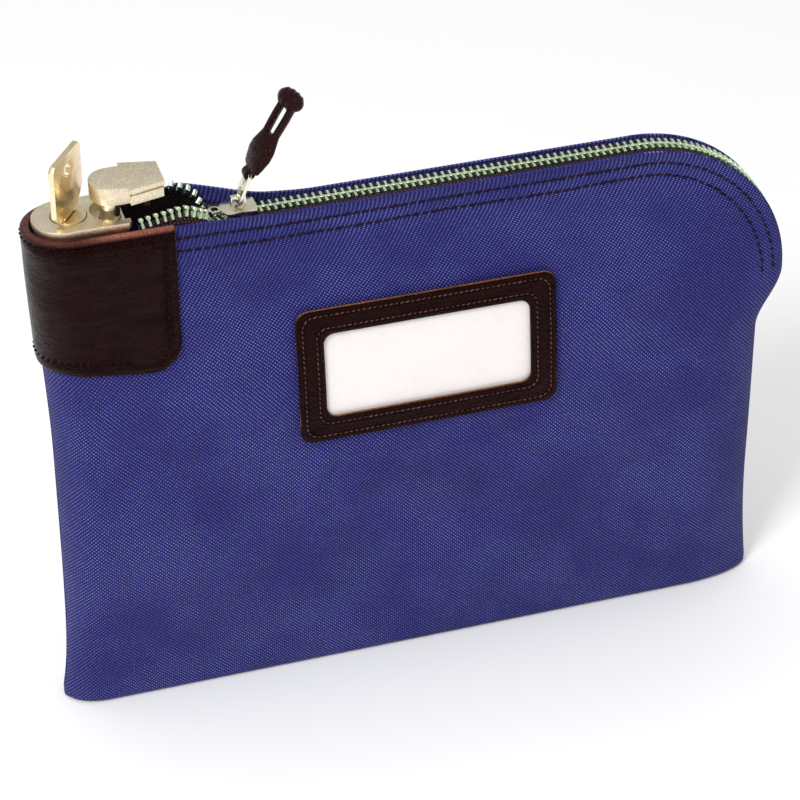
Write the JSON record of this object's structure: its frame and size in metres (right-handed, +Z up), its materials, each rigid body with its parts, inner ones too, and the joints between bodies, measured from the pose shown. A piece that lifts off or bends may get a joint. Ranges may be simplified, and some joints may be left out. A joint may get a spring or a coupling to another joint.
{
  "type": "cash deposit bag",
  "caption": "Flat locking fabric pouch with a curved metal zipper, a leather-clad pin lock whose head presses down over the slider, a key and a framed label.",
  "frame": {"origin": "middle of the base that the bag stands on", "axes": "+X along the zipper away from the lock, -Y out of the labelled front, +Z up"},
  "size_m": [0.2838, 0.035, 0.2475],
  "materials": {
    "nylon": "plain-woven laminated nylon, matt",
    "binding": "woven tape",
    "tape": "woven zipper tape",
    "teeth": "pale brass zipper teeth",
    "leather": "glossy grained leather",
    "pull_leather": "dark glossy leather",
    "lining": "smooth split leather",
    "card": "plain white card",
    "vinyl": "clear vinyl",
    "satin_metal": "satin plated metal",
    "brass": "turned brass",
    "spring_steel": "bright steel"
  },
  "bodies": {
    "bag": {"front_panel": "nylon", "rear_panel": "nylon", "seam_binding": "binding", "zipper_tape_front": "tape", "zipper_tape_rear": "tape", "zipper_teeth_front": "teeth", "zipper_teeth_rear": "teeth", "zipper_end_stop": "teeth", "lock_patch": "leather", "lock_lining": "lining", "label_card": "card", "label_window": "vinyl", "label_frame": "leather", "lock_housing": "satin_metal", "lock_cover": "satin_metal", "cover_screw_1": "spring_steel", "cover_screw_2": "spring_steel", "cover_screw_3": "spring_steel", "driver_pin_1": "brass", "driver_pin_2": "brass", "driver_pin_3": "brass", "driver_pin_4": "brass", "driver_pin_5": "brass", "driver_pin_6": "brass", "driver_pin_7": "brass", "driver_spring_1": "spring_steel", "driver_spring_2": "spring_steel", "driver_spring_3": "spring_steel", "driver_spring_4": "spring_steel", "driver_spring_5": "spring_steel", "driver_spring_6": "spring_steel", "driver_spring_7": "spring_steel", "bolt_spring": "spring_steel", "head_spring": "spring_steel"},
    "plug": {"key_plug": "brass", "plug_cam": "spring_steel", "key_pin_1": "brass", "key_pin_2": "brass", "key_pin_3": "brass", "key_pin_4": "brass", "key_pin_5": "brass", "key_pin_6": "brass", "key_pin_7": "brass"},
    "key": {"bag_key": "brass"},
    "bolt": {"latch_bolt": "spring_steel"},
    "head": {"locking_head": "satin_metal", "head_post": "satin_metal"},
    "slider": {"slider_body": "satin_metal"},
    "tab": {"pull_tab": "satin_metal"},
    "strap": {"leather_pull": "pull_leather"}
  },
  "joints": [
    {"name": "plug_turn", "type": "hinge", "parent": "bag", "child": "plug", "pos_m": [-0.1255, 0, 0.2], "axis": [0, 0, 1], "range_deg": [-15, 36.5]},
    {"name": "key_withdraw", "type": "slide", "parent": "plug", "child": "key", "axis": [0, 0, 1], "range_m": [0, 0.026]},
    {"name": "bolt_slide", "type": "slide", "parent": "bag", "child": "bolt", "axis": [1, 0, 0], "range_m": [-0.0009, 0.0021], "deforming": ["bolt_spring"]},
    {"name": "head_press", "type": "slide", "parent": "bag", "child": "head", "axis": [0, 0, 1], "range_m": [-0.0085, 0], "stiffness_N_per_m": 300, "springref_m": 0.004, "deforming": ["head_spring"]},
    {"name": "slider_run", "type": "slide", "parent": "bag", "child": "slider", "axis": [1, 0, 0], "range_m": [-0.0236, 0.14], "deforming": ["zipper_teeth_front", "zipper_teeth_rear", "zipper_tape_front", "zipper_tape_rear"]},
    {"name": "pull_swing", "type": "hinge", "parent": "slider", "child": "tab", "pos_m": [-0.0655, 0, 0.2068], "axis": [0, -1, 0], "range_deg": [-50, 75]},
    {"name": "strap_swing", "type": "hinge", "parent": "tab", "child": "strap", "pos_m": [-0.06138, 0, 0.21754], "axis": [0, -1, 0], "range_deg": [-12, 40]}
  ],
  "couplings": [
    {"joint": "bolt_slide", "follows": "plug_turn", "m_per_rad": 0.0030924}
  ]
}
